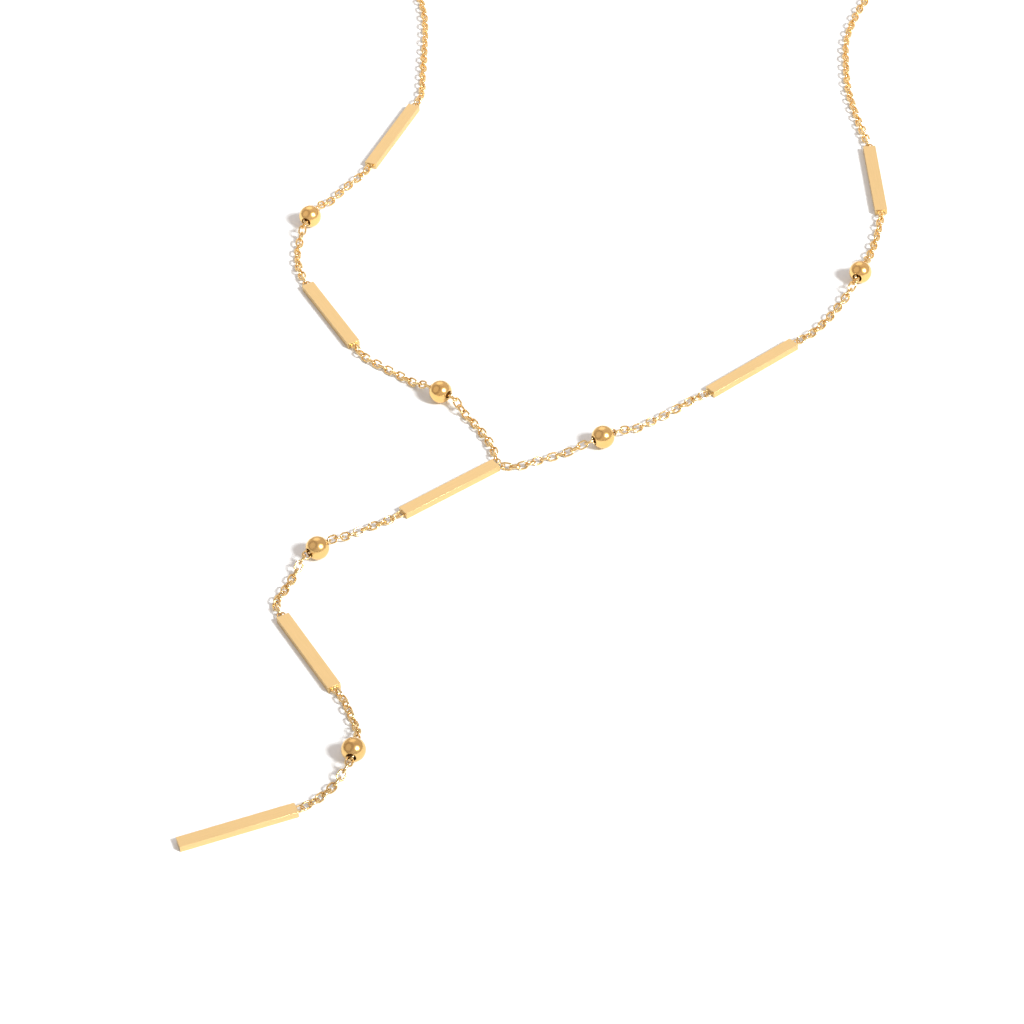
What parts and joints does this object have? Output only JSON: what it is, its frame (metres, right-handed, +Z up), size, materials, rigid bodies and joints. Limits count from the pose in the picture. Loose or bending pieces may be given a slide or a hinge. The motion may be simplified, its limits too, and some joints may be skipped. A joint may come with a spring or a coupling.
{
  "type": "y necklace",
  "caption": "Y-shaped necklace of flat bars and ball beads threaded on fine oval-link chain, with a long drop that ends in a bar, lying flat",
  "frame": {"origin": "middle of the necklace's outline, on the table that it lies on", "axes": "+Z up from the table, -Y towards the end of the drop, +Y towards the clasp, +X to the right as the necklace is seen"},
  "size_m": [0.107, 0.2418, 0.0031],
  "materials": {
    "bar": "satin gold plate with a fine lengthwise grain",
    "bead": "mirror-polished gold plate",
    "chain": "polished gold plate",
    "clasp": "polished gold plate"
  },
  "bodies": {
    "root": {"bar_centre": "bar", "bar_drop_mid": "bar", "bar_drop_end": "bar", "bar_left_low": "bar", "bar_left_high": "bar", "bar_right_low": "bar", "bar_right_high": "bar", "bead_drop_high": "bead", "bead_drop_low": "bead", "bead_left_low": "bead", "bead_left_high": "bead", "bead_right_low": "bead", "bead_right_high": "bead", "chain_drop_high": "chain", "chain_drop_low": "chain", "chain_left_low": "chain", "chain_left_high": "chain", "chain_right_low": "chain", "chain_right_high": "chain", "chain_left_neck": "chain", "chain_right_neck": "chain", "chain_back_left": "chain", "chain_back_right": "chain", "clasp": "clasp"}
  },
  "joints": []
}
